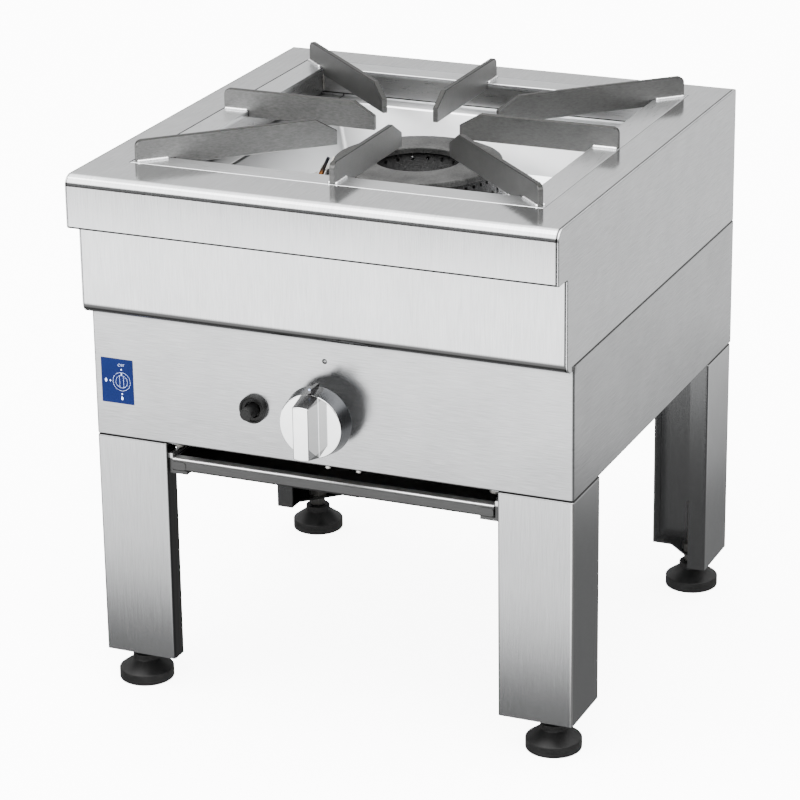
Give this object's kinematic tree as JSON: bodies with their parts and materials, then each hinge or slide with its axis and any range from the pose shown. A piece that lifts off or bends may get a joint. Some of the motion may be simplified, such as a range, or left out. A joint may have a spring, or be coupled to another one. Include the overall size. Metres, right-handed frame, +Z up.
{
  "type": "single burner stove",
  "caption": "Free-standing stainless gas stove on legs with one ring burner, bar pan support, spill pan, drip tray, control knob, push igniter and levelling feet.",
  "frame": {"origin": "on the floor under the middle of the stove's outline", "axes": "+X to the right seen from the front, +Y to the back, +Z up"},
  "size_m": [0.45, 0.498, 0.511],
  "materials": {
    "brushed_stainless": "brushed stainless sheet, satin grain",
    "bright_stainless": "bright smooth stainless sheet",
    "bar_steel": "dull mottled steel bar",
    "cast_iron": "rough grey casting",
    "black_iron": "black enamelled casting",
    "chrome": "mirror bright",
    "black_plastic": "satin black moulding",
    "blue_label": "printed blue plate",
    "zinc_steel": "zinc plated steel",
    "brass": "plain machined brass",
    "copper": "drawn copper tube",
    "ceramic": "glazed ceramic",
    "lead_rubber": "black silicone sleeve"
  },
  "bodies": {
    "stove": {"hob_top": "brushed_stainless", "hob_side_left": "brushed_stainless", "hob_side_right": "brushed_stainless", "hob_back": "brushed_stainless", "lower_casing": "brushed_stainless", "lower_back": "brushed_stainless", "control_label": "blue_label", "spill_pan": "bright_stainless", "burner_body": "black_iron", "burner_cap": "cast_iron", "burner_bracket": "zinc_steel", "mixing_tube": "cast_iron", "injector_holder": "brass", "injector": "brass", "air_shutter": "zinc_steel", "gas_valve_body": "brass", "valve_spring": "zinc_steel", "valve_bracket": "zinc_steel", "casing_screws": "zinc_steel", "casing_bolts": "zinc_steel", "igniter_body": "black_plastic", "igniter_bezel": "black_plastic", "igniter_nut": "black_plastic", "igniter_spring": "zinc_steel", "burner_feed_pipe": "copper", "gas_inlet": "brass", "supply_pipe": "zinc_steel", "pipe_nuts": "brass", "pilot_bracket": "zinc_steel", "thermocouple": "brass", "pilot_burner": "zinc_steel", "spark_electrode": "ceramic", "thermocouple_lead": "copper", "pilot_tube": "copper", "ignition_lead": "lead_rubber", "foot_nuts": "zinc_steel", "tray_runner_left": "brushed_stainless", "tray_runner_right": "brushed_stainless", "runner_screws": "zinc_steel", "leg_front_left": "brushed_stainless", "leg_front_right": "brushed_stainless", "leg_back_left": "brushed_stainless", "leg_back_right": "brushed_stainless"},
    "valve_push": {"valve_push_rod": "zinc_steel"},
    "knob": {"control_knob": "chrome", "valve_spindle": "zinc_steel", "knob_screw": "zinc_steel"},
    "igniter": {"igniter_button": "black_plastic"},
    "tray": {"drip_tray": "brushed_stainless"},
    "pan_support": {"pan_support_frame": "brushed_stainless", "pan_side_fingers": "bar_steel", "pan_corner_fingers": "bar_steel"},
    "pad_front_left": {"foot_pad_front_left": "black_plastic"},
    "spindle_front_left": {"foot_spindle_front_left": "zinc_steel"},
    "pad_front_right": {"foot_pad_front_right": "black_plastic"},
    "spindle_front_right": {"foot_spindle_front_right": "zinc_steel"},
    "pad_back_left": {"foot_pad_back_left": "black_plastic"},
    "spindle_back_left": {"foot_spindle_back_left": "zinc_steel"},
    "pad_back_right": {"foot_pad_back_right": "black_plastic"},
    "spindle_back_right": {"foot_spindle_back_right": "zinc_steel"}
  },
  "joints": [
    {"name": "knob_push", "type": "slide", "parent": "stove", "child": "valve_push", "axis": [0, 1, 0], "range_m": [0, 0.004], "stiffness_N_per_m": 1500, "springref_m": -0.002, "deforming": ["valve_spring"]},
    {"name": "knob_turn", "type": "hinge", "parent": "valve_push", "child": "knob", "pos_m": [-0.0015, -0.212, 0.2917], "axis": [0, -1, 0], "range_deg": [0, 180]},
    {"name": "igniter_press", "type": "slide", "parent": "stove", "child": "igniter", "axis": [0, 1, 0], "range_m": [0, 0.008], "stiffness_N_per_m": 800, "springref_m": -0.003, "deforming": ["igniter_spring"]},
    {"name": "tray_slide", "type": "slide", "parent": "stove", "child": "tray", "axis": [0, -1, 0], "range_m": [0, 0.4]},
    {"name": "pan_support_lift", "type": "slide", "parent": "stove", "child": "pan_support", "axis": [0, 0, 1], "range_m": [0, 0.15]},
    {"name": "foot_height_front_left", "type": "slide", "parent": "stove", "child": "pad_front_left", "axis": [0, 0, -1], "range_m": [0, 0.015]},
    {"name": "foot_turn_front_left", "type": "hinge", "parent": "pad_front_left", "child": "spindle_front_left", "pos_m": [-0.1988, -0.1714, 0.03], "axis": [0, 0, -1], "range_deg": [0, 3600]},
    {"name": "foot_height_front_right", "type": "slide", "parent": "stove", "child": "pad_front_right", "axis": [0, 0, -1], "range_m": [0, 0.015]},
    {"name": "foot_turn_front_right", "type": "hinge", "parent": "pad_front_right", "child": "spindle_front_right", "pos_m": [0.1988, -0.1714, 0.03], "axis": [0, 0, -1], "range_deg": [0, 3600]},
    {"name": "foot_height_back_left", "type": "slide", "parent": "stove", "child": "pad_back_left", "axis": [0, 0, -1], "range_m": [0, 0.015]},
    {"name": "foot_turn_back_left", "type": "hinge", "parent": "pad_back_left", "child": "spindle_back_left", "pos_m": [-0.1988, 0.2088, 0.03], "axis": [0, 0, -1], "range_deg": [0, 3600]},
    {"name": "foot_height_back_right", "type": "slide", "parent": "stove", "child": "pad_back_right", "axis": [0, 0, -1], "range_m": [0, 0.015]},
    {"name": "foot_turn_back_right", "type": "hinge", "parent": "pad_back_right", "child": "spindle_back_right", "pos_m": [0.1988, 0.2088, 0.03], "axis": [0, 0, -1], "range_deg": [0, 3600]}
  ],
  "couplings": [
    {"joint": "foot_turn_front_left", "follows": "foot_height_front_left", "rad_per_m": 4188.7},
    {"joint": "foot_turn_front_right", "follows": "foot_height_front_right", "rad_per_m": 4188.7},
    {"joint": "foot_turn_back_left", "follows": "foot_height_back_left", "rad_per_m": 4188.7},
    {"joint": "foot_turn_back_right", "follows": "foot_height_back_right", "rad_per_m": 4188.7}
  ]
}
